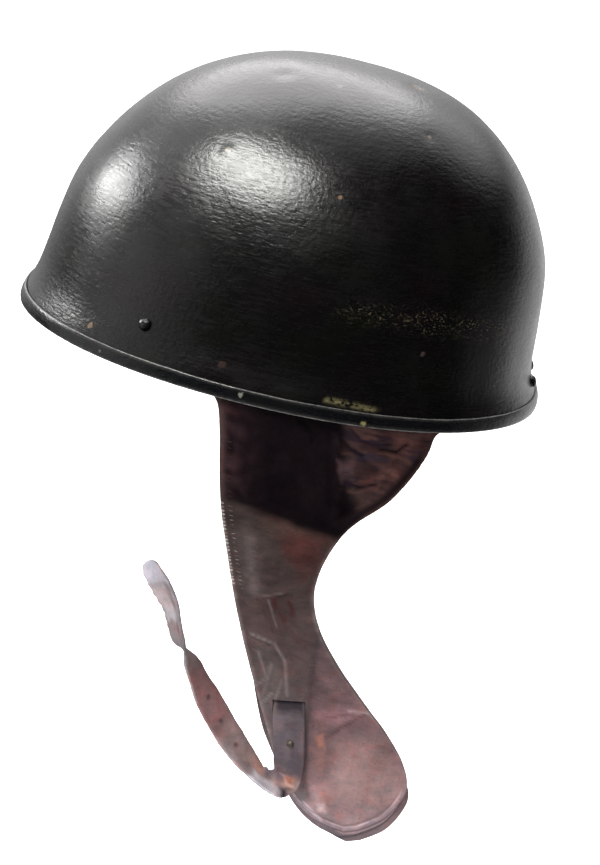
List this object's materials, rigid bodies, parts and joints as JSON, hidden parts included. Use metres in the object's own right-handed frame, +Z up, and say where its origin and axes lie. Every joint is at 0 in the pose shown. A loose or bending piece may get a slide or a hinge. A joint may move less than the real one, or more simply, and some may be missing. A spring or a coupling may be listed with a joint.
{
  "type": "dispatch rider helmet",
  "caption": "Painted steel motorcycle dispatch helmet: smooth dome with a crimped rim band, long leather ear flaps closing over the chin, holed chin strap and plain buckle.",
  "frame": {"origin": "middle of the underside of the crown, where the helmet sits on the head", "axes": "+Z up, with the rim level; -X towards the brow, +X towards the nape; -Y is the wearer's left, the side that carries the chin strap"},
  "size_m": [0.2903, 0.233, 0.459],
  "materials": {
    "shell_paint": "worn gloss black paint with fine brush marks, chips and scuffs",
    "band_paint": "worn gloss black paint, rubbed along the edges",
    "flap_leather": "old brown-black leather, rubbed grey and red-brown, creased",
    "strap_leather": "old strap leather, grey grain side and red-brown flesh side",
    "rivet_paint": "painted over",
    "small_metal": "dull, tarnished"
  },
  "bodies": {
    "root": {"shell": "shell_paint", "rim_band": "band_paint", "ear_flap_left": "flap_leather", "ear_flap_right": "flap_leather", "chin_strap": "strap_leather", "strap_stud": "small_metal", "rivet_left_front": "rivet_paint", "rivet_right_front": "rivet_paint", "rivet_left_rear": "rivet_paint", "rivet_right_rear": "rivet_paint", "buckle_strap": "strap_leather", "buckle": "small_metal", "buckle_stud": "small_metal"}
  },
  "joints": []
}
